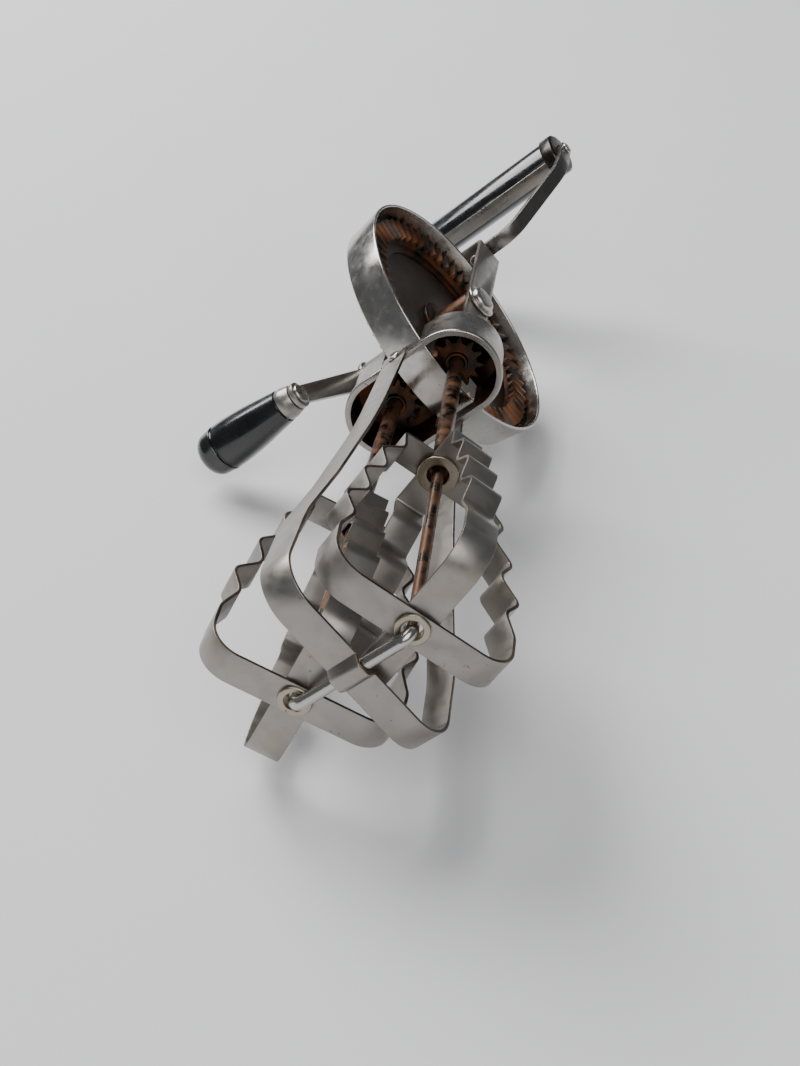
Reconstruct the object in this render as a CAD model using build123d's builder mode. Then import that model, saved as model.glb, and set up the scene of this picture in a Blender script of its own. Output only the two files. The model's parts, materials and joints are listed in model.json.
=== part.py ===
from build123d import *
import math
import os

# Rotary egg beater with centre drive, in millimetres.
#
# Tool frame: +Z runs up the tool from the beaters to the handle, X is the line through the
# two beaters and the axis of the crank wheel (the crank is at -X), Y is across the wheel.
# Z = 0 is where the two strip loops of a beater cross at its bottom.
# Each piece is made in the frame that suits it and then placed. Last of all, the whole tool
# is laid down on its left beater, its wheel rim and its knob, with +Z up from the table.

# Beaters
strip_width = 9.0
strip_thickness = 0.9
beater_spacing = 36.4
beater_height = 77.0
splay = 2.3                      # lean of each beater axis towards the middle, degrees
left_turn = 65.5                 # angle of the outer loop about its axis, degrees
right_turn = 74.5
# Half outline of a loop: share of its height, distance from the axis, bend radius. The
# lower half is plain, the upper half is crimped in waves that step inwards.
loop_outline = [
    (0.000, 25.6, 9.0),
    (0.200, 26.0, 8.0),
    (0.305, 22.9, 3.8),
    (0.400, 26.9, 3.8),
    (0.495, 20.2, 3.8),
    (0.600, 23.9, 3.8),
    (0.695, 17.2, 3.8),
    (0.800, 20.1, 3.8),
    (0.895, 13.4, 3.8),
    (1.000, 14.2, 1.6),
]

# Eyelets that rivet the loops together
bottom_bore = 5.3
bottom_barrel = 6.4
bottom_flange = 8.6
top_bore = 5.9
top_barrel = 7.2
top_flange = 11.3
flange_thickness = 0.8

# Fixed wire axle and the tubes that turn on it
wire_diameter = 3.3
wire_bend = 3.0
wire_drop = 3.8                  # depth of the cross run below the loops
wire_head = 4.4
wire_head_height = 1.1
tube_diameter = 4.8
tube_flange = 9.0
running_fit = 0.06
press_fit = 0.02

# Strap frame round the beaters: half width, height and bend radius of each point
strap_width = 9.0
strap_thickness = 0.9
strap_outline = [
    (16.9, 98.0, 400.0),
    (23.6, 54.0, 120.0),
    (28.8, 27.0, 60.0),
    (30.0, -1.6, 10.0),
]
strap_bottom = 3.35              # depth of the strap's middle line beside the lug
lug_half_top = 1.6
lug_half_foot = 3.4
lug_bend = 0.8
lug_gap = 0.1
strap_lap = 5.4                  # length of strap that lies on the housing
strap_lap_bend = 12.0

# Gears
gear_module = 1.25
wheel_teeth = 58
pinion_teeth = 12
addendum = 0.8
dedendum = 1.3
crown_root_half = 0.90
crown_tip_half = 0.35
pinion_root_half = 0.95
pinion_tip_half = 0.40
pinion_face = 6.5
crown_face = 7.2
pinion_collar = 6.8
pinion_collar_height = 1.6
thrust_gap = 0.08
washer_thickness = 0.8

crown_shoulder = 3.4             # flat ring inside the crown teeth
crown_shoulder_thickness = 1.2

# Drive wheel
wheel_height = 189.5
wheel_radius = 43.2
wheel_back_radius = 41.3
wheel_open_edge = 8.6
wheel_back_edge = -4.7
wheel_skin = 1.0
web_thickness = 1.0

# Hub, axle and frame plate
axle_diameter = 6.0
axle_head = 9.0
axle_head_height = 1.8
axle_washer = 11.5
axle_washer_thickness = 0.8
hub_diameter = 10.0
hub_flange = 19.0
hub_flange_thickness = 1.6
plate_face = 15.0
plate_thickness = 1.4
plate_width = 10.0
plate_bend = 2.0
plate_foot = 8.2
plate_tab = 20.0
rivet_diameter = 2.4
rivet_head = 4.2
rivet_head_height = 0.9

# Pinion housing
lobe_radius = 13.5
lobe_centre = 12.6
housing_wall = 1.0
housing_lip = 141.0
housing_shoulder = 2.2
lip_bead = 0.9
lip_bead_height = 1.6
strap_notch_gap = 0.3
slot_side_gap = 0.7
slot_rim_gap = 1.3

# Crank and knob
arm_face = -29.0
arm_thickness = 1.6
arm_length = 56.4
arm_turn = 24.4                  # crank angle from straight down, degrees
arm_hub_radius = 5.8
arm_tip_radius = 4.2
arm_hub_half = 3.7
arm_tip_half = 2.9
peen_diameter = 8.0
peen_height = 0.9
knob_pin_diameter = 4.0
knob_pin_reach = 20.0
pin_peen = 6.4
ferrule_length = 4.6
ferrule_foot_radius = 4.3
ferrule_radius = 5.1
knob_length = 32.6
knob_small_radius = 5.4
knob_big_radius = 7.7
knob_groove_place = 0.76
knob_groove = 0.6
knob_end_round = 3.6
end_play = 0.3

# D handle
handle_strap_width = 5.0
handle_strap_thickness = 2.2
handle_low = 237.5
handle_top = 293.5
handle_half_length = 44.7
handle_shoulder = (43.2, 268.5)
handle_heel = 25.4
crank_shoulder = (42.6, 268.5)   # the bow is drawn in on the crank side, clear of the arm
crank_waist = (26.6, 251.5)
crank_heel = 21.0
handle_straight = 3.3            # straight of the bow below each cap
handle_bends = [30, 20, 11, 9, 9, 12, 20]
grip_width = 13.4
grip_height = 18.0
grip_low = 281.0
grip_flat = 0.9                  # height of the flat on the grip's underside
rail_thickness = 1.2
cap_length = 5.0
cap_lip = 0.7
cap_round = 1.2
grip_pin_reach = 12.0

# How the tool lies: turn about its own axis, then tip of the axis, both in degrees
lying_turn = -43.12
lying_tip = -1.58

pieces = {}


def finish(name, part, frame):
    """Keep a finished piece at its place in the tool frame."""
    pieces[name] = part.moved(frame)


# ---------------------------------------------------------------- derived places
splay_angle = math.radians(splay)
tool_frame = Location((0, 0, 0))
wheel_frame = Location(Plane(origin=(0, 0, wheel_height), x_dir=(0, 0, -1), z_dir=(1, 0, 0)))
crank_frame = wheel_frame * Location((0, 0, 0), (0, 0, -arm_turn))
wire_radius = wire_diameter / 2
tube_radius = tube_diameter / 2
tube_bore_radius = wire_radius + running_fit
pinion_pitch_radius = gear_module * pinion_teeth / 2
crown_pitch_radius = gear_module * wheel_teeth / 2
mesh_height = wheel_height - crown_pitch_radius


def axis_x(height):
    """Distance of a beater's axis from the middle plane at a height up the tool."""
    return beater_spacing / 2 - height * math.tan(splay_angle)


def beater_plane(side):
    """Foot plane of one beater: its origin is at Z = 0 and its z axis is the wire."""
    lean = (-side * math.sin(splay_angle), 0, math.cos(splay_angle))
    across = (math.cos(splay_angle), 0, side * math.sin(splay_angle))
    return Plane(origin=(side * beater_spacing / 2, 0, 0), x_dir=across, z_dir=lean)


crown_pitch_x = axis_x(mesh_height) - pinion_pitch_radius
crown_tip_x = crown_pitch_x + addendum
crown_root_x = crown_pitch_x - dedendum
pinion_low = mesh_height / math.cos(splay_angle) - pinion_face / 2
pinion_high = pinion_low + pinion_face
washer_low = pinion_high + thrust_gap
washer_high = washer_low + washer_thickness
housing_ceiling = (
    washer_high * math.cos(splay_angle) + pinion_collar / 2 * math.sin(splay_angle)
)
housing_back = housing_ceiling + housing_wall
strap_inside = lobe_radius + strap_thickness / 2
strap_top = housing_lip + strap_lap
lug_depth = wire_drop + wire_radius + lug_gap + strap_thickness / 2
slot_radius = wheel_radius + slot_rim_gap
slot_back = -crown_tip_x - slot_side_gap
slot_open = wheel_open_edge + slot_side_gap
plate_middle = plate_face + plate_thickness / 2
plate_top = handle_low - handle_strap_thickness / 2 - plate_thickness / 2
plate_bottom = housing_back + plate_thickness / 2
foot_rivet_x = plate_face + plate_foot * 0.6
tab_rivet_x = (plate_face - plate_tab * 0.75, plate_face - plate_tab * 0.25)
axle_radius = axle_diameter / 2
rim_slope = (wheel_radius - wheel_back_radius) / (wheel_open_edge - wheel_back_edge)
web_radius = wheel_back_radius - rim_slope * wheel_back_edge - wheel_skin / 2
crown_inner = crown_pitch_radius - crown_face / 2
crown_outer = crown_pitch_radius + crown_face / 2
arm_outer_face = arm_face - arm_thickness
cap_end = handle_half_length - handle_strap_thickness / 2
grip_half_length = cap_end - cap_length
grip_middle = grip_low + grip_height / 2


# ---------------------------------------------------------------- beaters
def loop_points(bottom, top):
    """Corners of one loop's outer outline, once round, with their bend radii."""
    half = []
    for share, reach, bend in loop_outline:
        half.append((reach, bottom + share * (top - bottom), bend))
    mirrored = [(-reach, height, bend) for reach, height, bend in reversed(half)]
    corners = half + mirrored
    points = [(reach, height) for reach, height, bend in corners]
    bends = [bend for reach, height, bend in corners]
    return points, bends


def strip_loop(turn, bottom, top):
    """A flat strip bent into one closed crimped loop, with its two eyelet holes."""
    points, bends = loop_points(bottom, top)
    plane = Plane.XZ.rotated((0, 0, turn))
    with BuildPart() as loop:
        with BuildSketch(plane):
            with BuildLine():
                FilletPolyline(*points, radius=bends, close=True)
            make_face()
            offset(amount=-strip_thickness, mode=Mode.SUBTRACT)
        extrude(amount=strip_width / 2, both=True)
        with BuildSketch(Plane.XY.offset(beater_height / 2)):
            Circle(top_barrel / 2 + press_fit)
        extrude(amount=beater_height, mode=Mode.SUBTRACT)
        with BuildSketch(Plane.XY.offset(beater_height / 2)):
            Circle(bottom_barrel / 2 + press_fit)
        extrude(amount=-beater_height, mode=Mode.SUBTRACT)
    return loop.part


def eyelet(bore, barrel, flange, low, high):
    """A rolled eyelet whose barrel runs from low to high between two rounded flanges."""
    with BuildPart() as ring:
        with BuildSketch(Plane.XY.offset(low - flange_thickness)):
            Circle(flange / 2)
        extrude(amount=flange_thickness)
        with BuildSketch(Plane.XY.offset(low)):
            Circle(barrel / 2)
        extrude(amount=high - low)
        with BuildSketch(Plane.XY.offset(high)):
            Circle(flange / 2)
        extrude(amount=flange_thickness)
        with BuildSketch(Plane.XY.offset(low - flange_thickness)):
            Circle(bore / 2)
        extrude(amount=high - low + 2 * flange_thickness, mode=Mode.SUBTRACT)
        rims = ring.edges().filter_by(GeomType.CIRCLE).group_by(Axis.Z)
        fillet(rims[0] + rims[-1], flange_thickness * 0.42)
    return ring.part


def beater_tube():
    """The tube that carries the pinion's turn down to the loops."""
    foot = beater_height + strip_thickness + flange_thickness
    with BuildPart() as tube:
        with BuildSketch(Plane.XY.offset(foot)):
            Circle(tube_flange / 2)
        extrude(amount=flange_thickness)
        with BuildSketch(Plane.XY.offset(foot)):
            Circle(tube_radius)
        extrude(amount=pinion_high - foot)
        with BuildSketch(Plane.XY.offset(foot)):
            Circle(tube_bore_radius)
        extrude(amount=pinion_high - foot, mode=Mode.SUBTRACT)
    return tube.part


def pinion():
    """A small spur gear with a collar below it. A gap between teeth faces the wheel."""
    bore = tube_radius + press_fit
    root = pinion_pitch_radius - dedendum
    tip = pinion_pitch_radius + addendum
    sunk = root - gear_module / 2
    widening = (pinion_root_half - pinion_tip_half) / (tip - root)
    sunk_half = pinion_root_half + widening * (root - sunk)
    with BuildPart() as gear:
        with BuildSketch(Plane.XY.offset(pinion_low)):
            Circle(root)
            with PolarLocations(0, pinion_teeth, start_angle=180 / pinion_teeth):
                Polygon(
                    (sunk, -sunk_half),
                    (tip, -pinion_tip_half),
                    (tip, pinion_tip_half),
                    (sunk, sunk_half),
                    align=None,
                )
            Circle(bore, mode=Mode.SUBTRACT)
        extrude(amount=pinion_face)
        with BuildSketch(Plane.XY.offset(pinion_low)):
            Circle(pinion_collar / 2)
            Circle(bore, mode=Mode.SUBTRACT)
        extrude(amount=-pinion_collar_height)
    return gear.part


def thrust_washer():
    """The washer between a pinion and the housing."""
    with BuildPart() as washer:
        with BuildSketch(Plane.XY.offset(washer_low)):
            Circle(pinion_collar / 2)
            Circle(wire_radius + press_fit, mode=Mode.SUBTRACT)
        extrude(amount=washer_thickness)
    return washer.part


for side, name, turn in ((-1, "left", left_turn), (1, "right", right_turn)):
    frame = Location(beater_plane(side))
    outer_low = -strip_thickness
    outer_high = beater_height + strip_thickness
    finish(name + "_loop_outer", strip_loop(turn, outer_low, outer_high), frame)
    finish(name + "_loop_inner", strip_loop(turn - 90, 0, beater_height), frame)
    finish(
        name + "_bottom_eyelet",
        eyelet(bottom_bore, bottom_barrel, bottom_flange, outer_low, strip_thickness),
        frame,
    )
    finish(
        name + "_top_eyelet",
        eyelet(top_bore, top_barrel, top_flange, beater_height - strip_thickness, outer_high),
        frame,
    )
    finish(name + "_beater_tube", beater_tube(), frame)
    finish(name + "_pinion", pinion(), frame)
    finish(name + "_thrust_washer", thrust_washer(), frame)

# ---------------------------------------------------------------- wire axle
wire_low = axis_x(-wire_drop)
wire_high = axis_x(housing_back)
with BuildPart() as shaft_wire:
    with BuildLine(Plane.XZ):
        FilletPolyline(
            (-wire_high, housing_back),
            (-wire_low, -wire_drop),
            (wire_low, -wire_drop),
            (wire_high, housing_back),
            radius=wire_bend,
        )
    with BuildSketch(Plane.YZ):
        with Locations((0, -wire_drop)):
            Circle(wire_radius)
    sweep()
    with BuildSketch(Plane.XY.offset(housing_back)):
        with Locations((-wire_high, 0), (wire_high, 0)):
            Circle(wire_head / 2)
    extrude(amount=wire_head_height)
    fillet(shaft_wire.edges().group_by(Axis.Z)[-1], wire_head_height * 0.7)
finish("shaft_wire", shaft_wire.part, tool_frame)

# ---------------------------------------------------------------- strap frame
right_side = [(strap_inside, strap_top), (strap_inside, housing_lip)]
right_side += [(reach, height) for reach, height, bend in strap_outline[:-1]]
right_side += [(strap_outline[-1][0], -strap_bottom)]
right_side += [(lug_half_foot, -strap_bottom), (lug_half_top, -lug_depth)]
right_bends = [strap_lap_bend] + [bend for reach, height, bend in strap_outline]
right_bends += [lug_bend, lug_bend]
left_side = [(-reach, height) for reach, height in reversed(right_side)]
with BuildPart() as strap_frame:
    with BuildSketch(Plane.YZ):
        with BuildLine():
            FilletPolyline(*right_side, *left_side, radius=right_bends + right_bends[::-1])
        trace(line_width=strap_thickness)
    extrude(amount=strap_width / 2, both=True)
    with BuildSketch(Plane.XZ):
        with Locations((0, housing_lip + strap_lap / 2)):
            Circle(rivet_diameter / 2 + press_fit)
    extrude(amount=2 * lobe_radius, both=True, mode=Mode.SUBTRACT)
finish("strap_frame", strap_frame.part, tool_frame)

# ---------------------------------------------------------------- pinion housing
with BuildPart() as pinion_housing:
    with BuildSketch(Plane.XY.offset(housing_lip)):
        SlotCenterToCenter(2 * lobe_centre, 2 * lobe_radius)
    extrude(amount=housing_back - housing_lip)
    fillet(pinion_housing.faces().sort_by(Axis.Z)[-1].edges(), housing_shoulder)
    with BuildSketch(Plane.XY.offset(housing_lip)):
        SlotCenterToCenter(2 * lobe_centre, 2 * (lobe_radius + lip_bead))
    extrude(amount=lip_bead_height)
    fillet(pinion_housing.faces().sort_by(Axis.Z)[0].edges(), lip_bead * 0.6)
    with BuildSketch(Plane.XY.offset(housing_lip)):
        SlotCenterToCenter(2 * lobe_centre, 2 * (lobe_radius - housing_wall))
    extrude(amount=housing_ceiling - housing_lip, mode=Mode.SUBTRACT)
    with BuildSketch(Plane.YZ.offset(slot_back)):
        with Locations((0, wheel_height)):
            Circle(slot_radius)
    extrude(amount=slot_open - slot_back, mode=Mode.SUBTRACT)
    with BuildSketch(Plane.XY.offset(housing_lip)):
        Rectangle(strap_width + 2 * strap_notch_gap, 4 * lobe_radius)
        Rectangle(strap_width + 4 * strap_notch_gap, 2 * lobe_radius, mode=Mode.SUBTRACT)
    extrude(amount=lip_bead_height, mode=Mode.SUBTRACT)
    for side in (-1, 1):
        with BuildSketch(beater_plane(side)):
            Circle(wire_radius + press_fit)
        extrude(amount=2 * housing_back, mode=Mode.SUBTRACT)
    with BuildSketch(Plane.XZ):
        with Locations((0, housing_lip + strap_lap / 2)):
            Circle(rivet_diameter / 2 + press_fit)
    extrude(amount=2 * lobe_radius, both=True, mode=Mode.SUBTRACT)
    with BuildSketch(Plane.XY.offset(housing_back)):
        with Locations((foot_rivet_x, 0)):
            Circle(rivet_diameter / 2 + press_fit)
    extrude(amount=-2 * housing_wall, mode=Mode.SUBTRACT)
finish("pinion_housing", pinion_housing.part, tool_frame)


def rivet(grip, flush=False):
    """A rivet up the z axis through a grip that starts at z = 0. Its head is below."""
    with BuildPart() as body:
        with BuildSketch(Plane.XY):
            Circle(rivet_diameter / 2)
        extrude(amount=grip)
        with BuildSketch(Plane.XY):
            Circle(rivet_head / 2)
        extrude(amount=-rivet_head_height)
        fillet(body.edges().group_by(Axis.Z)[0], rivet_head_height * 0.7)
        if not flush:
            with BuildSketch(Plane.XY.offset(grip)):
                Circle(rivet_head / 2)
            extrude(amount=rivet_head_height / 2)
    return body.part


side_grip = strap_thickness + housing_wall
for side, name in ((-1, "front"), (1, "back")):
    place = Plane(
        origin=(0, side * (lobe_radius + strap_thickness), housing_lip + strap_lap / 2),
        z_dir=(0, -side, 0),
    )
    finish("strap_rivet_" + name, rivet(side_grip), Location(place))

# ---------------------------------------------------------------- frame plate
with BuildPart() as frame_plate:
    with BuildSketch(Plane.XZ):
        with BuildLine():
            FilletPolyline(
                (plate_face + plate_foot, plate_bottom),
                (plate_middle, plate_bottom),
                (plate_middle, plate_top),
                (plate_face - plate_tab, plate_top),
                radius=plate_bend,
            )
        trace(line_width=plate_thickness)
    extrude(amount=plate_width / 2, both=True)
    with BuildSketch(Plane.YZ):
        with Locations((0, wheel_height)):
            Circle(axle_radius + running_fit)
    extrude(amount=2 * plate_face, mode=Mode.SUBTRACT)
    with BuildSketch(Plane.XY):
        with Locations((foot_rivet_x, 0)):
            Circle(rivet_diameter / 2 + press_fit)
    extrude(amount=wheel_height, mode=Mode.SUBTRACT)
    with BuildSketch(Plane.XY.offset(wheel_height)):
        with Locations((tab_rivet_x[0], 0), (tab_rivet_x[1], 0)):
            Circle(rivet_diameter / 2 + press_fit)
    extrude(amount=handle_low - wheel_height, mode=Mode.SUBTRACT)
finish("frame_plate", frame_plate.part, tool_frame)

foot_top = housing_back + plate_thickness
finish(
    "foot_rivet",
    rivet(plate_thickness + housing_wall, flush=True),
    Location(Plane(origin=(foot_rivet_x, 0, foot_top), z_dir=(0, 0, -1))),
)
tab_low = plate_top - plate_thickness / 2
for x, name in zip(tab_rivet_x, ("inner", "outer")):
    finish(
        "tab_rivet_" + name,
        rivet(plate_thickness + handle_strap_thickness),
        Location((x, 0, tab_low)),
    )

# ---------------------------------------------------------------- D handle
bow_knee = grip_low - cap_lip - handle_straight
right_bow = [
    (handle_half_length, handle_top),
    (handle_half_length, bow_knee),
    handle_shoulder,
    (handle_heel, handle_low),
]
left_bow = [
    (-crank_heel, handle_low),
    (-crank_waist[0], crank_waist[1]),
    (-crank_shoulder[0], crank_shoulder[1]),
    (-handle_half_length, bow_knee),
    (-handle_half_length, handle_top),
]
with BuildPart() as handle_strap:
    with BuildSketch(Plane.XZ):
        with BuildLine():
            FilletPolyline(*right_bow, *left_bow, radius=handle_bends)
        trace(line_width=handle_strap_thickness)
    extrude(amount=handle_strap_width / 2, both=True)
    ends = handle_strap.edges().filter_by(Axis.X).group_by(Axis.Z)[-1]
    fillet(ends, handle_strap_width * 0.45)
    with BuildSketch(Plane.YZ):
        with Locations((0, grip_middle)):
            Circle(rivet_diameter / 2 + press_fit)
    extrude(amount=2 * handle_half_length, both=True, mode=Mode.SUBTRACT)
    with BuildSketch(Plane.XY.offset(handle_low)):
        with Locations((tab_rivet_x[0], 0), (tab_rivet_x[1], 0)):
            Circle(rivet_diameter / 2 + press_fit)
    extrude(amount=handle_strap_thickness, both=True, mode=Mode.SUBTRACT)
finish("handle_strap", handle_strap.part, tool_frame)

with BuildPart() as grip:
    with BuildSketch(Plane.YZ):
        with Locations((0, grip_middle)):
            Ellipse(grip_width / 2, grip_height / 2)
        with Locations((0, grip_low)):
            Rectangle(grip_width, 2 * grip_flat, mode=Mode.SUBTRACT)
    extrude(amount=grip_half_length, both=True)
    with BuildSketch(Plane.YZ.offset(grip_half_length)):
        with Locations((0, grip_middle)):
            Circle(rivet_diameter / 2 + press_fit)
    extrude(amount=-grip_pin_reach, mode=Mode.SUBTRACT)
    with BuildSketch(Plane.YZ.offset(-grip_half_length)):
        with Locations((0, grip_middle)):
            Circle(rivet_diameter / 2 + press_fit)
    extrude(amount=grip_pin_reach, mode=Mode.SUBTRACT)
finish("grip", grip.part, tool_frame)

rail_top = grip_low + grip_flat
with BuildPart() as grip_rail:
    with BuildSketch(Plane.YZ):
        with Locations((0, rail_top - rail_thickness / 2)):
            Rectangle(handle_strap_width, rail_thickness)
    extrude(amount=grip_half_length, both=True)
finish("grip_rail", grip_rail.part, tool_frame)

for side, name in ((-1, "left"), (1, "right")):
    with BuildPart() as grip_cap:
        with BuildSketch(Plane.YZ.offset(side * grip_half_length)):
            with Locations((0, grip_middle)):
                Ellipse(grip_width / 2 + cap_lip, grip_height / 2 + cap_lip)
        extrude(amount=side * cap_length)
        outer = grip_cap.faces().sort_by(Axis.X)[-1 if side > 0 else 0]
        fillet(outer.edges(), cap_round)
        with BuildSketch(Plane.YZ.offset(side * grip_half_length)):
            with Locations((0, grip_middle)):
                Circle(rivet_diameter / 2 + press_fit)
        extrude(amount=side * cap_length, mode=Mode.SUBTRACT)
    finish("grip_cap_" + name, grip_cap.part, tool_frame)
    outside = handle_half_length + handle_strap_thickness / 2
    place = Plane(origin=(side * outside, 0, grip_middle), z_dir=(-side, 0, 0))
    shank = outside - grip_half_length + grip_pin_reach - end_play
    finish("grip_pin_" + name, rivet(shank, flush=True), Location(place))

# ---------------------------------------------------------------- drive wheel
# Made with the axle along z and the mesh with the pinions at +x.
with BuildPart() as drive_wheel:
    with BuildSketch(Plane.XZ):
        with BuildLine():
            Polyline(
                (wheel_back_radius - wheel_skin, wheel_back_edge),
                (wheel_back_radius, wheel_back_edge),
                (wheel_radius, wheel_open_edge),
                (wheel_radius - wheel_skin, wheel_open_edge),
                close=True,
            )
        rim = make_face()
        fillet(rim.vertices(), wheel_skin * 0.45)
        with Locations(((axle_radius + press_fit + web_radius) / 2, 0)):
            Rectangle(web_radius - axle_radius - press_fit, web_thickness)
    revolve(axis=Axis.Z)
finish("drive_wheel", drive_wheel.part, wheel_frame)


def crown_ring(side):
    """A ring of axial teeth that stands on one face of the web."""
    face = web_thickness / 2
    sunk_x = crown_root_x - gear_module / 2
    widening = (crown_root_half - crown_tip_half) / (crown_tip_x - crown_root_x)
    sunk_half = crown_root_half + widening * (crown_root_x - sunk_x)
    inset = gear_module / 8
    with BuildPart() as tooth:
        with BuildSketch(Plane.YZ.offset(crown_inner + inset)):
            with BuildLine():
                Polyline(
                    (-sunk_half, sunk_x),
                    (-crown_tip_half, crown_tip_x),
                    (crown_tip_half, crown_tip_x),
                    (sunk_half, sunk_x),
                    close=True,
                )
            make_face()
        extrude(amount=crown_face - 2 * inset)
    with BuildPart() as ring:
        with BuildSketch(Plane.XY.offset(face)):
            Circle(crown_outer)
            Circle(crown_inner, mode=Mode.SUBTRACT)
        extrude(amount=crown_root_x - face)
        with BuildSketch(Plane.XY.offset(face)):
            Circle(crown_inner)
            Circle(crown_inner - crown_shoulder, mode=Mode.SUBTRACT)
        extrude(amount=crown_shoulder_thickness)
        with PolarLocations(0, wheel_teeth):
            add(tooth.part)
    if side < 0:
        return ring.part.rotate(Axis.X, 180)
    return ring.part


finish("crown_ring_open", crown_ring(1), wheel_frame)
finish("crown_ring_back", crown_ring(-1), wheel_frame)

with BuildPart() as wheel_hub:
    with BuildSketch(Plane.XY.offset(web_thickness / 2)):
        Circle(hub_flange / 2)
    extrude(amount=hub_flange_thickness)
    fillet(wheel_hub.edges().group_by(Axis.Z)[-1], hub_flange_thickness * 0.5)
    with BuildSketch(Plane.XY.offset(web_thickness / 2)):
        Circle(hub_diameter / 2)
    extrude(amount=plate_face - end_play - web_thickness / 2)
    with BuildSketch(Plane.XY.offset(web_thickness / 2)):
        Circle(axle_radius + press_fit)
    extrude(amount=plate_face, mode=Mode.SUBTRACT)
finish("wheel_hub", wheel_hub.part, wheel_frame)

with BuildPart() as crank_sleeve:
    with BuildSketch(Plane.XY.offset(-web_thickness / 2)):
        Circle(hub_diameter / 2)
        Circle(axle_radius + press_fit, mode=Mode.SUBTRACT)
    extrude(amount=arm_face + web_thickness / 2)
finish("crank_sleeve", crank_sleeve.part, wheel_frame)

washer_face = plate_face + plate_thickness + end_play
with BuildPart() as axle_washer_ring:
    with BuildSketch(Plane.XY.offset(washer_face)):
        Circle(axle_washer / 2)
        Circle(axle_radius + press_fit, mode=Mode.SUBTRACT)
    extrude(amount=axle_washer_thickness)
finish("axle_washer", axle_washer_ring.part, wheel_frame)

with BuildPart() as wheel_axle:
    with BuildSketch(Plane.XY.offset(arm_outer_face)):
        Circle(axle_radius)
    extrude(amount=washer_face + axle_washer_thickness - arm_outer_face)
    with BuildSketch(Plane.XY.offset(washer_face + axle_washer_thickness)):
        Circle(axle_head / 2)
    extrude(amount=axle_head_height)
    fillet(wheel_axle.edges().group_by(Axis.Z)[-1], axle_head_height * 0.7)
    with BuildSketch(Plane.XY.offset(arm_outer_face)):
        Circle(peen_diameter / 2)
    extrude(amount=-peen_height)
    fillet(wheel_axle.edges().group_by(Axis.Z)[0], peen_height * 0.7)
finish("wheel_axle", wheel_axle.part, wheel_frame)

# ---------------------------------------------------------------- crank and knob
# Made with the axle along z and the arm along +x.
with BuildPart() as crank_arm:
    with BuildSketch(Plane.XY.offset(arm_outer_face)):
        Circle(arm_hub_radius)
        with Locations((arm_length, 0)):
            Circle(arm_tip_radius)
        with BuildLine():
            Polyline(
                (0, -arm_hub_half),
                (arm_length, -arm_tip_half),
                (arm_length, arm_tip_half),
                (0, arm_hub_half),
                close=True,
            )
        make_face()
        Circle(axle_radius + press_fit, mode=Mode.SUBTRACT)
        with Locations((arm_length, 0)):
            Circle(knob_pin_diameter / 2 + press_fit, mode=Mode.SUBTRACT)
    extrude(amount=arm_thickness)
finish("crank_arm", crank_arm.part, crank_frame)

ferrule_face = arm_outer_face - end_play
knob_face = ferrule_face - ferrule_length
knob_end = knob_face - knob_length
pin_end = knob_face - knob_pin_reach
with BuildPart() as knob_pin:
    with BuildSketch(Plane.XY.offset(pin_end)):
        with Locations((arm_length, 0)):
            Circle(knob_pin_diameter / 2)
    extrude(amount=arm_face - pin_end)
    with BuildSketch(Plane.XY.offset(arm_face)):
        with Locations((arm_length, 0)):
            Circle(pin_peen / 2)
    extrude(amount=peen_height)
    fillet(knob_pin.edges().group_by(Axis.Z)[-1], peen_height * 0.7)
finish("knob_pin", knob_pin.part, crank_frame)

knob_axis = Axis((arm_length, 0, 0), (0, 0, 1))
pin_bore = knob_pin_diameter / 2 + running_fit
with BuildPart() as knob_ferrule:
    with BuildSketch(Plane.XZ.move(Location((arm_length, 0, 0)))):
        with BuildLine():
            Polyline(
                (pin_bore, ferrule_face),
                (ferrule_foot_radius, ferrule_face),
                (ferrule_radius, knob_face + ferrule_length * 0.4),
                (ferrule_radius, knob_face),
                (pin_bore, knob_face),
                close=True,
            )
        make_face()
    revolve(axis=knob_axis)
finish("knob_ferrule", knob_ferrule.part, crank_frame)

groove_z = knob_face - knob_length * knob_groove_place
widest_z = knob_face - knob_length * (knob_groove_place - 0.12)
with BuildPart() as crank_knob:
    with BuildSketch(Plane.XZ.move(Location((arm_length, 0, 0)))):
        with BuildLine():
            Polyline((0, knob_face), (knob_small_radius, knob_face))
            Spline(
                (knob_small_radius, knob_face),
                (knob_big_radius, widest_z),
                (knob_big_radius, groove_z - knob_groove),
                (knob_big_radius * 0.94, knob_end),
            )
            Polyline((knob_big_radius * 0.94, knob_end), (0, knob_end), (0, knob_face))
        make_face()
        with Locations((knob_big_radius, groove_z)):
            Circle(knob_groove, mode=Mode.SUBTRACT)
    revolve(axis=knob_axis)
    fillet(crank_knob.edges().group_by(Axis.Z)[0], knob_end_round)
    with BuildSketch(Plane.XY.offset(knob_face)):
        with Locations((arm_length, 0)):
            Circle(pin_bore)
    extrude(amount=-knob_pin_reach - end_play, mode=Mode.SUBTRACT)
finish("crank_knob", crank_knob.part, crank_frame)

# ---------------------------------------------------------------- laying the tool down
tilt = Location((0, 0, 0), (-90 + lying_tip, 0, 0)) * Location((0, 0, 0), (0, 0, lying_turn))
lying = Compound(children=[part.moved(tilt) for part in pieces.values()]).bounding_box()
settle = Location((-lying.center().X, -lying.center().Y, -lying.min.Z)) * tilt

if __name__ == "__main__":
    os.makedirs("parts", exist_ok=True)
    for name, part in pieces.items():
        laid = part.moved(settle)
        laid.label = name
        export_step(laid, "parts/" + name + ".step")
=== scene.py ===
import json
import math

import bpy
from bpy.props import FloatProperty, PointerProperty, StringProperty
from mathutils import Matrix, Vector


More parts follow.
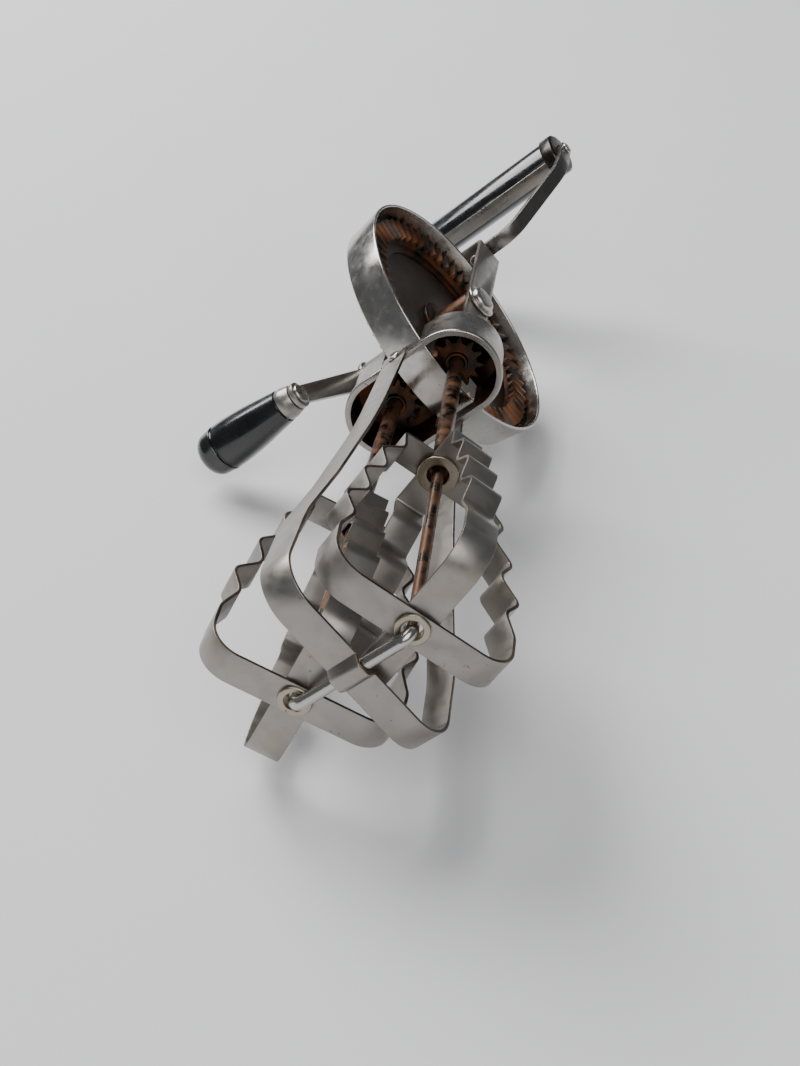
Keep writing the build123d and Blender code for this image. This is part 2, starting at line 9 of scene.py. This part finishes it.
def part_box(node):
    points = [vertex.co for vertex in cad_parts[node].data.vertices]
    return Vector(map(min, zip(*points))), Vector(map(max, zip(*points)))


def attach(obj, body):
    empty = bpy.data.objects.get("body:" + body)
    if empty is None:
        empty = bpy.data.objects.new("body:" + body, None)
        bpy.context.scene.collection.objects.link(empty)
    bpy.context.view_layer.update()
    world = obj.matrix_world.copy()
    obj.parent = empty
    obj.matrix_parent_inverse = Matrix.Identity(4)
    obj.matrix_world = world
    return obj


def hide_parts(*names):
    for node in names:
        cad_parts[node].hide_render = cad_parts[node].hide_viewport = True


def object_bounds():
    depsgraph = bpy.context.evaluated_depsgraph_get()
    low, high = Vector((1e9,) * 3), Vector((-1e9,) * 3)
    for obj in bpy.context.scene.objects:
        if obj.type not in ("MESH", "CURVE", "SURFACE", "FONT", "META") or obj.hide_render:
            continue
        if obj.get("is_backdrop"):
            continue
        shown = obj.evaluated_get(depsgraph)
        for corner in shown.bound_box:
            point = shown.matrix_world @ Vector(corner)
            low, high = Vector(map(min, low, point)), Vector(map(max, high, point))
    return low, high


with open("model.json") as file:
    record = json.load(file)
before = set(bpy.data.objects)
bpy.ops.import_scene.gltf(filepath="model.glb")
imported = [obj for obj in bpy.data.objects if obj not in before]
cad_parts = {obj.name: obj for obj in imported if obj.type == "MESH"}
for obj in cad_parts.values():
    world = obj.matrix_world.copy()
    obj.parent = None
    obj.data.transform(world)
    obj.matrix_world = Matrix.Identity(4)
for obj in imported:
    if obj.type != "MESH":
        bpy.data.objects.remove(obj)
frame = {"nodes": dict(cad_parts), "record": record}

bl_info = {
    "name": "Rotary egg beater",
    "version": (1, 0, 0),
    "blender": (4, 5, 0),
    "location": "3D View > Sidebar > Egg Beater",
    "description": "Finishes the plated, bare and black-lacquered pieces of a rotary egg beater",
    "category": "Object",
}

MM = 0.001
NODES = frame["nodes"]
JOINTS = {joint["name"]: joint for joint in frame["record"]["behaviour"]["joints"]}
WHEEL_CENTRE = Vector(JOINTS["crank_turn"]["pos_m"])
WHEEL_AXIS = Vector(JOINTS["crank_turn"]["axis"]).normalized()
KNOB_FOOT = Vector(JOINTS["knob_spin"]["pos_m"])
KNOB_AXIS = Vector(JOINTS["knob_spin"]["axis"]).normalized()

# The body that each node rides on, and its material slot.
BODIES = frame["record"]["behaviour"]["bodies"]
BODY_OF = {node: body for body, nodes in BODIES.items() for node in nodes}
SLOT_OF = {part["node"]: part["material_slot"] for part in frame["record"]["subparts"]}

# Bent strip, whose sheared edges are darker than its faces.
STRIPS = (
    "left_loop_outer", "left_loop_inner", "right_loop_outer", "right_loop_inner",
    "strap_frame", "frame_plate", "handle_strap", "crank_arm",
)

# A flat face that is narrower than this is the sheared edge of a strip, not its face.
EDGE_BREADTH = 1.5 * MM

# Nodes that get a new shape here. Every other node keeps its shape, with softened edges.
NEW_SHAPES = ("crank_knob", "drive_wheel")

# Plated steel finishes, slots first: film, rust spots, roughness and base colour, where
# None is the plating's own colour and "strip" the rubbed strip's.
PLATED = {
    "chrome_strip": (0.40, 0.0, 0.36, "strip"),
    "frame_steel": (0.30, 0.01, 0.32, "strip"),
    "wheel_chrome": (0.25, 0.0, 0.16, None),
    "housing_chrome": (0.30, 0.0, 0.24, "#A09C97"),
    "crank_steel": (0.15, -0.02, 0.30, "#9A9792"),
    "handle_chrome": (0.30, 0.0, 0.24, "#7E7B77"),
    "rivet_steel": (0.10, -0.03, 0.20, None),
    "eyelet_steel": (0.75, 0.04, 0.28, "#A59C8C"),
    "sheared_edge": (0.7, 0.04, 0.42, "#4E4843"),
    "cap_plating": (0.10, -0.03, 0.24, "#3A3836"),
}

# Softened edges: sharper bends than this are broken, in degrees, and flatter ones are
# shaded smooth. Strip and hardware have the first two angles, turned pieces their own.
BREAK_ANGLE, SOFT_ANGLE = 50, 35
WHEEL_SMOOTH, KNOB_SMOOTH = 40, 30
SIDE_VERTICES = 12               # a sheared edge's face has more vertices than this

# Steps round a turned piece, and the wheel's hole for its axle.
WHEEL_STEPS, KNOB_STEPS = 144, 96
AXLE_RADIUS = 3.0 * MM

# The knob's outline: its groove as a share of the length, the groove's radius, the round
# of its end, how far the end draws in, the chamfer at the neck and the swell's curve.
KNOB_GROOVE_PLACE = 0.76
KNOB_GROOVE = 0.6 * MM
KNOB_GROOVE_LIP = 0.15 * MM
KNOB_END_ROUND = 4.2 * MM
KNOB_END_DRAW = 0.4 * MM
KNOB_CHAMFER = 0.5 * MM
KNOB_SWELL_END = 1.2 * MM        # the swell stops this far before the groove
KNOB_SWELL_POWER = 1.15
KNOB_SWELL_STEPS = 12

# Faces of the housing that look into the cavities, and those under their roof, are painted dark as
# painted shade: the cosines of the angles to the cavity's axis side and to straight down, and the
# depth of the roof.
LOOKS_IN, LOOKS_DOWN = -0.35, -0.5
ROOF_DEPTH = 3 * MM

# The wheel's web: dark plating, its dark patches, and the fine lines on it.
WEB_PLATE, WEB_PATCH, WEB_LINE = "#5A544E", "#3A342F", "#6F6861"
WEB_LINE_WIDTH = 0.8 * MM

# The room, its two square lights (place from the object's middle in metres, side in metres,
# power in watts) and the camera.
WORLD_COLOUR = "#A9ACB2"
WORLD_STRENGTH = 0.34
LIGHTS = {
    "window": ((-1.0, 0.8, 1.25), 1.3, 52.0),
    "fill": ((0.3, -1.4, 1.5), 1.6, 24.0),
}
CAMERA_LENS = 58.74              # millimetres, on a sensor 36 mm wide
CAMERA_ANGLES = (5.081, 33.151, 4.263)  # azimuth, elevation and roll in degrees
CAMERA_DISTANCE = 1.743          # as a share of the object's length
CAMERA_AIM = (0.0136, -0.0244, -0.0391)  # from the object's middle, metres


# ------------------------------------------------------------------ sizes and colours
class BEATER_PG_sizes(bpy.types.PropertyGroup):
    """Sizes of the edges, the wheel and the knob."""

    edge_round: FloatProperty(
        name="Edge round",
        description="Radius of the broken edges on sheared strip",
        default=0.14 * MM, min=0.0, max=0.4 * MM, subtype="DISTANCE", unit="LENGTH",
    )
    rim_radius: FloatProperty(
        name="Rim radius",
        description="Outer radius of the wheel at its open edge",
        default=43.2 * MM, subtype="DISTANCE", unit="LENGTH",
    )
    rim_back_radius: FloatProperty(
        name="Rim back radius",
        description="Outer radius of the wheel at its back edge",
        default=41.3 * MM, subtype="DISTANCE", unit="LENGTH",
    )
    rim_open: FloatProperty(
        name="Open edge",
        description="Distance of the open edge from the middle of the wheel's web",
        default=8.6 * MM, subtype="DISTANCE", unit="LENGTH",
    )
    rim_back: FloatProperty(
        name="Back edge",
        description="Distance of the back edge from the middle of the wheel's web",
        default=4.7 * MM, subtype="DISTANCE", unit="LENGTH",
    )
    rim_wall: FloatProperty(
        name="Rim wall",
        description="Thickness of the wheel's pressed sheet",
        default=1.0 * MM, subtype="DISTANCE", unit="LENGTH",
    )
    knob_length: FloatProperty(
        name="Knob length",
        description="Length of the black knob from its ferrule to its end",
        default=32.6 * MM, subtype="DISTANCE", unit="LENGTH",
    )
    knob_radius: FloatProperty(
        name="Knob radius",
        description="Largest radius of the black knob",
        default=7.7 * MM, subtype="DISTANCE", unit="LENGTH",
    )
    knob_neck: FloatProperty(
        name="Knob neck radius",
        description="Radius of the black knob at its ferrule",
        default=5.4 * MM, subtype="DISTANCE", unit="LENGTH",
    )


class BEATER_PG_colours(bpy.types.PropertyGroup):
    """Colours of the finishes, as sRGB hex values."""

    plate: StringProperty(
        name="Plating", description="Bright plated steel", default="#B9B6B1",
    )
    tarnish: StringProperty(
        name="Tarnish", description="Yellow-brown film on old plating", default="#9A8B78",
    )
    strip: StringProperty(
        name="Strip",
        description="Rolled steel strip with its plating rubbed satin",
        default="#9A9691",
    )
    rust: StringProperty(
        name="Rust", description="Rust in the rubbed and wet places", default="#6B4226",
    )
    bare: StringProperty(
        name="Bare steel", description="Bare steel wire under its brown film", default="#5C5148",
    )
    # Gear colour: dark oiled steel, made darker still as painted shade for gears that sit in the
    # shaded cavities and inside the wheel.
    gear: StringProperty(
        name="Gear steel", description="Dark oiled steel of the gears", default="#2C2825",
    )
    black: StringProperty(
        name="Black lacquer", description="Black of the knob and the grip", default="#08080A",
    )
    table: StringProperty(
        name="Table", description="Pale grey of the table", default="#E6E6E7",
    )


def sizes():
    """The size settings of the current scene."""
    return bpy.context.scene.beater_sizes


def colours():
    """The colour settings of the current scene."""
    return bpy.context.scene.beater_colours


def linear(code):
    """An sRGB hex value as a linear colour with full alpha."""
    parts = [int(code[i:i + 2], 16) / 255 for i in (1, 3, 5)]
    values = [p / 12.92 if p <= 0.04045 else ((p + 0.055) / 1.055) ** 2.4 for p in parts]
    return (*values, 1.0)


# ------------------------------------------------------------------ materials
def add_node(tree, kind, settings=None, **links):
    """Add one node: settings go to its properties or sockets, links join its inputs."""
    node = tree.nodes.new(kind)
    for key, value in (settings or {}).items():
        if isinstance(key, str) and hasattr(node, key):
            setattr(node, key, value)
        else:
            node.inputs[key].default_value = value
    for key, source in links.items():
        name = key.replace("_", " ")
        socket = next(s for s in node.inputs if s.name == name and s.enabled)
        tree.links.new(source, socket)
    return node


def new_material(name):
    """An empty material with its shader and its Object coordinates."""
    material = bpy.data.materials.new(name)
    material.use_nodes = True
    tree = material.node_tree
    tree.nodes.clear()
    shader = add_node(tree, "ShaderNodeBsdfPrincipled")
    output = add_node(tree, "ShaderNodeOutputMaterial")
    tree.links.new(shader.outputs["BSDF"], output.inputs["Surface"])
    place = add_node(tree, "ShaderNodeTexCoord").outputs["Object"]
    return material, tree, shader, place


def noise(tree, place, size_mm, detail=3.0, roughness=0.55):
    """A noise whose blotches are about size_mm across."""
    settings = {"Scale": 1 / (size_mm * MM), "Detail": detail, "Roughness": roughness}
    return add_node(tree, "ShaderNodeTexNoise", settings, Vector=place).outputs["Fac"]


def ramp(tree, value, start, end, low=0.0, high=1.0):
    """Spread a value between start and end over low to high."""
    settings = {"From Min": start, "From Max": end, "To Min": low, "To Max": high}
    return add_node(tree, "ShaderNodeMapRange", settings, Value=value).outputs["Result"]


def blend_colours(tree, share, first, second):
    """Mix two colours, each a colour or a socket, by a share."""
    mix = add_node(tree, "ShaderNodeMix", {"data_type": "RGBA"})
    tree.links.new(share, mix.inputs[0])
    for socket, colour in ((mix.inputs[6], first), (mix.inputs[7], second)):
        if isinstance(colour, tuple):
            socket.default_value = colour
        else:
            tree.links.new(colour, socket)
    return mix.outputs[2]


def bump(tree, shader, height, depth_mm):
    """Raise the surface by a height of depth_mm."""
    settings = {"Strength": 1.0, "Distance": depth_mm * MM}
    node = add_node(tree, "ShaderNodeBump", settings, Height=height)
    tree.links.new(node.outputs["Normal"], shader.inputs["Normal"])


def plated_steel(name, film, spots, gloss, base=None):
    """Old bright plating on rolled steel: it mirrors the room with a soft blur, yellows in
    patches where the film has worn thin, and lets small rust spots through."""
    material, tree, shader, place = new_material(name)
    base = base or colours().plate
    cloud = ramp(tree, noise(tree, place, 14.0, 4.0), 0.42, 0.70, 0.0, film)
    speck = ramp(tree, noise(tree, place, 2.6, 5.0, 0.65), 0.66 - spots, 0.74 - spots)
    tone = blend_colours(tree, cloud, linear(base), linear(colours().tarnish))
    tone = blend_colours(tree, speck, tone, linear(colours().rust))
    tree.links.new(tone, shader.inputs["Base Color"])
    metal = ramp(tree, speck, 0.0, 1.0, 1.0, 0.25)
    tree.links.new(metal, shader.inputs["Metallic"])
    worn = ramp(tree, noise(tree, place, 3.5, 4.0), 0.35, 0.75, gloss, gloss + 0.16)
    tree.links.new(worn, shader.inputs["Roughness"])
    bump(tree, shader, noise(tree, place, 6.0, 2.0), 0.02)
    return material


def rusted_wire(name):
    """Cold-drawn steel wire with a brown rust film: dull and patchy up the tool, and rubbed
    bright where it crosses under the beaters."""
    material, tree, shader, place = new_material(name)
    cloud = ramp(tree, noise(tree, place, 5.0, 5.0, 0.6), 0.40, 0.66)
    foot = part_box("shaft_wire")[0].y
    along = add_node(tree, "ShaderNodeSeparateXYZ", Vector=place).outputs["Y"]
    kept_bright = ramp(tree, along, foot + 8 * MM, foot + 20 * MM)
    film = add_node(tree, "ShaderNodeMath", {"operation": "MULTIPLY"})
    tree.links.new(cloud, film.inputs[0])
    tree.links.new(kept_bright, film.inputs[1])
    rust = film.outputs[0]
    steel = blend_colours(tree, kept_bright, linear(colours().plate), linear(colours().bare))
    tone = blend_colours(tree, rust, steel, linear(colours().rust))
    tree.links.new(tone, shader.inputs["Base Color"])
    tree.links.new(ramp(tree, rust, 0.0, 1.0, 1.0, 0.45), shader.inputs["Metallic"])
    tree.links.new(ramp(tree, rust, 0.0, 1.0, 0.22, 0.55), shader.inputs["Roughness"])
    bump(tree, shader, noise(tree, place, 0.8, 3.0), 0.03)
    return material


def oil_and_painted_shade_steel(name):
    """Stamped steel under old oil: dark, brownish and half dull. Its darkness is partly painted
    shade on the gears, and all painted shade on the cavity walls.
    """
    material, tree, shader, place = new_material(name)
    cloud = ramp(tree, noise(tree, place, 7.0, 4.0), 0.38, 0.68)
    tone = blend_colours(tree, cloud, linear(colours().gear), linear(colours().rust))
    tree.links.new(tone, shader.inputs["Base Color"])
    shader.inputs["Metallic"].default_value = 0.9
    tree.links.new(ramp(tree, cloud, 0.0, 1.0, 0.32, 0.5), shader.inputs["Roughness"])
    return material


def turned_web(name):
    """The wheel's inside: dull plating with fine lines that run out from the axle. The
    lines are wider at the rim than real ones, so that they show."""
    material, tree, shader, place = new_material(name)
    turn = WHEEL_AXIS.to_track_quat("Z", "Y").to_matrix().inverted().to_euler()
    centre = turn.to_matrix() @ -WHEEL_CENTRE
    local = add_node(
        tree, "ShaderNodeMapping", {"Rotation": turn, "Location": centre}, Vector=place
    ).outputs["Vector"]
    flat = add_node(
        tree, "ShaderNodeVectorMath", {"operation": "MULTIPLY", 1: (1, 1, 0)}
    )
    tree.links.new(local, flat.inputs[0])
    spoke = add_node(tree, "ShaderNodeVectorMath", {"operation": "NORMALIZE"})
    tree.links.new(flat.outputs[0], spoke.inputs[0])
    settings = {"Scale": sizes().rim_radius / WEB_LINE_WIDTH, "Detail": 2.0}
    lines = add_node(
        tree, "ShaderNodeTexNoise", settings, Vector=spoke.outputs[0]
    ).outputs["Fac"]
    cloud = ramp(tree, noise(tree, place, 16.0, 4.0), 0.35, 0.7)
    tone = blend_colours(tree, cloud, linear(WEB_PLATE), linear(WEB_PATCH))
    tone = blend_colours(tree, ramp(tree, lines, 0.35, 0.7), tone, linear(WEB_LINE))
    tree.links.new(tone, shader.inputs["Base Color"])
    shader.inputs["Metallic"].default_value = 0.92
    tree.links.new(ramp(tree, lines, 0.3, 0.7, 0.28, 0.46), shader.inputs["Roughness"])
    bump(tree, shader, lines, 0.03)
    return material


def black_lacquer(name):
    """Turned hardwood under thick black lacquer: deep black, with a sharp gloss that is
    softened by handling marks."""
    material, tree, shader, place = new_material(name)
    shader.inputs["Base Color"].default_value = linear(colours().black)
    shader.inputs["IOR"].default_value = 1.5
    shader.inputs["Coat Weight"].default_value = 0.6
    shader.inputs["Coat Roughness"].default_value = 0.12
    marks = noise(tree, place, 4.0, 5.0, 0.6)
    tree.links.new(ramp(tree, marks, 0.35, 0.7, 0.16, 0.34), shader.inputs["Roughness"])
    bump(tree, shader, noise(tree, place, 9.0, 2.0), 0.03)
    return material


def painted_table(name):
    """A matt pale grey table top with a very faint mottle."""
    material, tree, shader, place = new_material(name)
    pale = linear(colours().table)
    grey = tuple(0.97 * c for c in pale[:3]) + (1.0,)
    tone = blend_colours(tree, noise(tree, place, 60.0, 2.0), pale, grey)
    tree.links.new(tone, shader.inputs["Base Color"])
    shader.inputs["Roughness"].default_value = 0.75
    shader.inputs["Specular IOR Level"].default_value = 0.2
    return material


def finish_for(slot):
    """The material of a slot or of one of the extra finishes, made once."""
    name = slot + "_finish"  # the frame's own materials already hold the bare slot names
    known = bpy.data.materials.get(name)
    if known:
        return known
    if slot in PLATED:
        film, spots, gloss, base = PLATED[slot]
        return plated_steel(name, film, spots, gloss, colours().strip if base == "strip" else base)
    makers = {
        "wire_steel": rusted_wire,
        "gear_steel": oil_and_painted_shade_steel,
        "grip_black": black_lacquer,
        "knob_black": black_lacquer,
    }
    return makers[slot](name)


# ------------------------------------------------------------------ modelling tools
def deselect_all():
    """Leave nothing selected, so that an operator acts on the new piece alone."""
    if bpy.context.object and bpy.context.object.mode == "EDIT":
        bpy.ops.object.mode_set(mode="OBJECT")
    bpy.ops.object.select_all(action="DESELECT")


def pick(piece):
    """Make a piece the only selected and active object."""
    deselect_all()
    piece.select_set(True)
    bpy.context.view_layer.objects.active = piece


def smooth(piece, degrees):
    """Shade a piece smooth, but for edges sharper than the angle."""
    pick(piece)
    bpy.ops.object.shade_smooth_by_angle(angle=math.radians(degrees))


def lathe(name, profile, centre, axis, steps):
    """Turn an outline of (radius, distance along the axis) points about an axis."""
    out = axis.orthogonal().normalized()
    points = [centre + out * radius + axis * along for radius, along in profile]
    deselect_all()
    bpy.ops.mesh.primitive_plane_add(size=MM, location=(0, 0, 0))
    piece = bpy.context.object
    piece.name = name
    bpy.ops.object.mode_set(mode="EDIT")
    bpy.ops.mesh.merge(type="CENTER")
    bpy.ops.mesh.select_all(action="SELECT")
    bpy.ops.transform.translate(value=points[0])
    for start, end in zip(points, points[1:]):
        bpy.ops.mesh.extrude_vertices_move(TRANSFORM_OT_translate={"value": end - start})
    bpy.ops.mesh.select_all(action="SELECT")
    bpy.ops.mesh.spin(steps=steps, angle=math.tau, center=centre, axis=axis)
    bpy.ops.mesh.select_all(action="SELECT")
    bpy.ops.mesh.remove_doubles(threshold=0.01 * MM)
    bpy.ops.mesh.normals_make_consistent(inside=False)
    bpy.ops.object.mode_set(mode="OBJECT")
    return piece


def arc(centre, radius, start, end, steps):
    """Points of an arc, as (radius, along) pairs, with its angles in degrees."""
    angles = [math.radians(start + (end - start) * i / steps) for i in range(steps + 1)]
    return [(centre[0] + radius * math.cos(a), centre[1] + radius * math.sin(a)) for a in angles]


def soften(node):
    """Copy a node as a finished piece whose sheared edges are broken."""
    piece = NODES[node].copy()
    piece.data = NODES[node].data.copy()
    piece.parent = None
    piece.matrix_world = Matrix.Identity(4)
    piece.name = node + "_finished"
    bpy.context.scene.collection.objects.link(piece)
    pick(piece)
    bpy.ops.object.mode_set(mode="EDIT")
    bpy.ops.mesh.select_all(action="SELECT")
    bpy.ops.mesh.remove_doubles(threshold=0.002 * MM)
    bpy.ops.mesh.dissolve_limited(angle_limit=math.radians(0.5))
    bpy.ops.object.mode_set(mode="OBJECT")
    piece.data.materials.clear()
    piece.data.materials.append(finish_for(SLOT_OF[node]))
    if node in STRIPS:
        piece.data.materials.append(finish_for("sheared_edge"))
        for face in piece.data.polygons:
            outline = sum(
                (piece.data.vertices[a].co - piece.data.vertices[b].co).length
                for a, b in face.edge_keys
            )
            breadth = 2 * face.area / outline
            face.material_index = int(
                len(face.vertices) > SIDE_VERTICES and breadth < EDGE_BREADTH
            )
    if sizes().edge_round > 0:
        edge = piece.modifiers.new("Broken edges", "BEVEL")
        edge.width = sizes().edge_round
        edge.segments = 2
        edge.limit_method = "ANGLE"
        edge.angle_limit = math.radians(BREAK_ANGLE)
        bpy.ops.object.modifier_apply(modifier=edge.name)
    smooth(piece, SOFT_ANGLE)
    return piece


def paint_cavity_shade(piece):
    """Paint shade into the two pinion cavities: the faces that look into them, and those under
    their roof, get a dark oiled-steel finish as painted shade.
    """
    axes = [Vector(JOINTS[side + "_beater_spin"]["axis"]) for side in ("left", "right")]
    feet = [Vector(JOINTS[side + "_beater_spin"]["pos_m"]) for side in ("left", "right")]
    up = (axes[0] + axes[1]).normalized()
    # Painted shade: a dark finish for the cavity walls and the underside of their roof, where the
    # plated housing lies in shade.
    piece.data.materials.append(oil_and_painted_shade_steel("painted_shade_cavity"))
    ceiling = max(vertex.co.dot(up) for vertex in piece.data.vertices)
    for face in piece.data.polygons:
        gaps = []
        for axis, foot in zip(axes, feet):
            away = face.center - foot
            gaps.append(away - axis * away.dot(axis))
        outward = min(gaps, key=lambda gap: gap.length)
        looks_in = face.normal.dot(outward.normalized()) < LOOKS_IN
        below_roof = face.normal.dot(up) < LOOKS_DOWN and face.center.dot(up) > ceiling - ROOF_DEPTH
        if looks_in or below_roof:
            face.material_index = 1


def finish_piece(piece, node, slot=None):
    """Give a piece its finish, and put it on the node's body in the node's place."""
    slot = slot or SLOT_OF[node]
    if not piece.data.materials:
        piece.data.materials.append(finish_for(slot))
    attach(piece, BODY_OF[node])
    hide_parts(node)


# ------------------------------------------------------------------ operators
class BEATER_OT_soft_edges(bpy.types.Operator):
    """Break the edges of the bent strip, the housing, the gears and the small hardware"""

    bl_idname = "beater.soft_edges"
    bl_label = "Strip, Housing and Hardware"

    def execute(self, context):
        for node in sorted(NODES):
            if node in NEW_SHAPES:
                continue
            piece = soften(node)
            finish_piece(piece, node)
            if node == "pinion_housing":
                paint_cavity_shade(piece)
            if node.startswith("grip_cap"):
                piece.data.materials[0] = finish_for("cap_plating")
        return {"FINISHED"}


class BEATER_OT_wheel(bpy.types.Operator):
    """Turn the wheel's rim with its rolled edges, and its dull web"""

    bl_idname = "beater.wheel"
    bl_label = "Drive Wheel"

    def execute(self, context):
        s = sizes()
        roll = s.rim_wall / 2
        profile = arc((s.rim_back_radius - roll, -s.rim_back + roll), roll, -160, 0, 8)
        profile += arc((s.rim_radius - roll, s.rim_open - roll), roll, 0, 180, 8)
        profile += [(s.rim_back_radius - s.rim_wall, -s.rim_back + roll), profile[0]]
        rim = lathe("drive_wheel_rim", profile, WHEEL_CENTRE, WHEEL_AXIS, WHEEL_STEPS)
        smooth(rim, WHEEL_SMOOTH)
        finish_piece(rim, "drive_wheel")

        half = s.rim_wall / 2
        bore, edge = AXLE_RADIUS, s.rim_back_radius
        disc = [(bore, half), (edge, half), (edge, -half), (bore, -half), (bore, half)]
        web = lathe("drive_wheel_web", disc, WHEEL_CENTRE, WHEEL_AXIS, WHEEL_STEPS)
        smooth(web, WHEEL_SMOOTH)
        web.data.materials.append(turned_web("turned_web"))
        finish_piece(web, "drive_wheel")
        return {"FINISHED"}


class BEATER_OT_knob(bpy.types.Operator):
    """Turn the black knob, with its swell, its ring groove and its rounded end"""

    bl_idname = "beater.knob"
    bl_label = "Crank Knob"

    def execute(self, context):
        s = sizes()
        length, big, neck = s.knob_length, s.knob_radius, s.knob_neck
        groove_at, groove, lip = KNOB_GROOVE_PLACE * length, KNOB_GROOVE, KNOB_GROOVE_LIP
        profile = [(0.0, 0.0), (neck - KNOB_CHAMFER, 0.0), (neck, -KNOB_CHAMFER)]
        for i in range(1, KNOB_SWELL_STEPS):
            t = i / KNOB_SWELL_STEPS
            swell = math.sin(t * math.pi / 2) ** KNOB_SWELL_POWER
            profile.append((neck + (big - neck) * swell, -t * (groove_at - KNOB_SWELL_END)))
        profile += [(big, -groove_at + groove), (big - lip, -groove_at + 0.7 * groove)]
        profile += arc((big, -groove_at), groove, 150, 210, 4)
        profile += [(big - lip, -groove_at - 0.7 * groove), (big, -groove_at - groove)]
        centre = (big - KNOB_END_DRAW - KNOB_END_ROUND, -length + KNOB_END_ROUND)
        profile += arc(centre, KNOB_END_ROUND, 0, -90, 10)
        profile += [(0.0, -length)]
        knob = lathe("crank_knob_turned", profile, KNOB_FOOT, KNOB_AXIS, KNOB_STEPS)
        smooth(knob, KNOB_SMOOTH)
        finish_piece(knob, "crank_knob")
        return {"FINISHED"}


class BEATER_OT_stage(bpy.types.Operator):
    """Lay the pale table and set the soft lights and the camera"""

    bl_idname = "beater.stage"
    bl_label = "Table, Lights and Camera"

    def execute(self, context):
        lo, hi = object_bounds()
        middle = (lo + hi) / 2
        length = hi.y - lo.y
        deselect_all()
        bpy.ops.mesh.primitive_grid_add(
            x_subdivisions=2, y_subdivisions=2, size=20 * length, location=(0, 0, 0)
        )
        table = context.object
        table.name = "table"
        table.data.materials.append(painted_table("painted_table"))
        table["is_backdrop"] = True

        world = bpy.data.worlds.new("pale_room")
        world.use_nodes = True
        background = world.node_tree.nodes["Background"]
        background.inputs["Color"].default_value = linear(WORLD_COLOUR)
        background.inputs["Strength"].default_value = WORLD_STRENGTH
        context.scene.world = world

        for name, (offset, side, power) in LIGHTS.items():
            self.add_light(name, middle + Vector(offset), middle, side, power)

        camera_data = bpy.data.cameras.new("camera")
        camera_data.lens = CAMERA_LENS
        camera_data.sensor_width = 36.0
        camera_data.clip_start = 0.01
        camera = bpy.data.objects.new("camera", camera_data)
        context.scene.collection.objects.link(camera)
        distance = CAMERA_DISTANCE * length
        azimuth, elevation, roll = (math.radians(a) for a in CAMERA_ANGLES)
        target = middle + Vector(CAMERA_AIM)
        back = Vector((
            math.sin(azimuth) * math.cos(elevation),
            -math.cos(azimuth) * math.cos(elevation),
            math.sin(elevation),
        ))
        camera.location = target + back * distance
        look = (-back).to_track_quat("-Z", "Y").to_matrix()
        camera.rotation_euler = (look @ Matrix.Rotation(roll, 3, "Z")).to_euler()
        context.scene.camera = camera
        return {"FINISHED"}

    def add_light(self, name, place, target, size, power):
        """Add one soft square light that faces the target."""
        light_data = bpy.data.lights.new(name, "AREA")
        light_data.size = size
        light_data.energy = power
        light = bpy.data.objects.new(name, light_data)
        bpy.context.scene.collection.objects.link(light)
        light.location = place
        light.rotation_euler = (target - place).to_track_quat("-Z", "Y").to_euler()


class BEATER_PT_panel(bpy.types.Panel):
    """The steps that finish the egg beater"""

    bl_label = "Egg Beater"
    bl_idname = "BEATER_PT_panel"
    bl_space_type = "VIEW_3D"
    bl_region_type = "UI"
    bl_category = "Egg Beater"

    def draw(self, context):
        column = self.layout.column(align=True)
        for operator in OPERATORS:
            column.operator(operator.bl_idname)
        for settings in (context.scene.beater_sizes, context.scene.beater_colours):
            box = self.layout.box()
            for name in settings.__annotations__:
                box.prop(settings, name)


OPERATORS = (BEATER_OT_soft_edges, BEATER_OT_wheel, BEATER_OT_knob, BEATER_OT_stage)
CLASSES = (BEATER_PG_sizes, BEATER_PG_colours, *OPERATORS, BEATER_PT_panel)


def register():
    for cls in CLASSES:
        bpy.utils.register_class(cls)
    bpy.types.Scene.beater_sizes = PointerProperty(type=BEATER_PG_sizes)
    bpy.types.Scene.beater_colours = PointerProperty(type=BEATER_PG_colours)


def unregister():
    del bpy.types.Scene.beater_colours
    del bpy.types.Scene.beater_sizes
    for cls in reversed(CLASSES):
        bpy.utils.unregister_class(cls)


def main():
    """Register the add-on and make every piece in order."""
    register()
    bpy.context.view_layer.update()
    bpy.ops.beater.soft_edges()
    bpy.ops.beater.wheel()
    bpy.ops.beater.knob()
    bpy.ops.beater.stage()


if __name__ == "__main__":
    main()
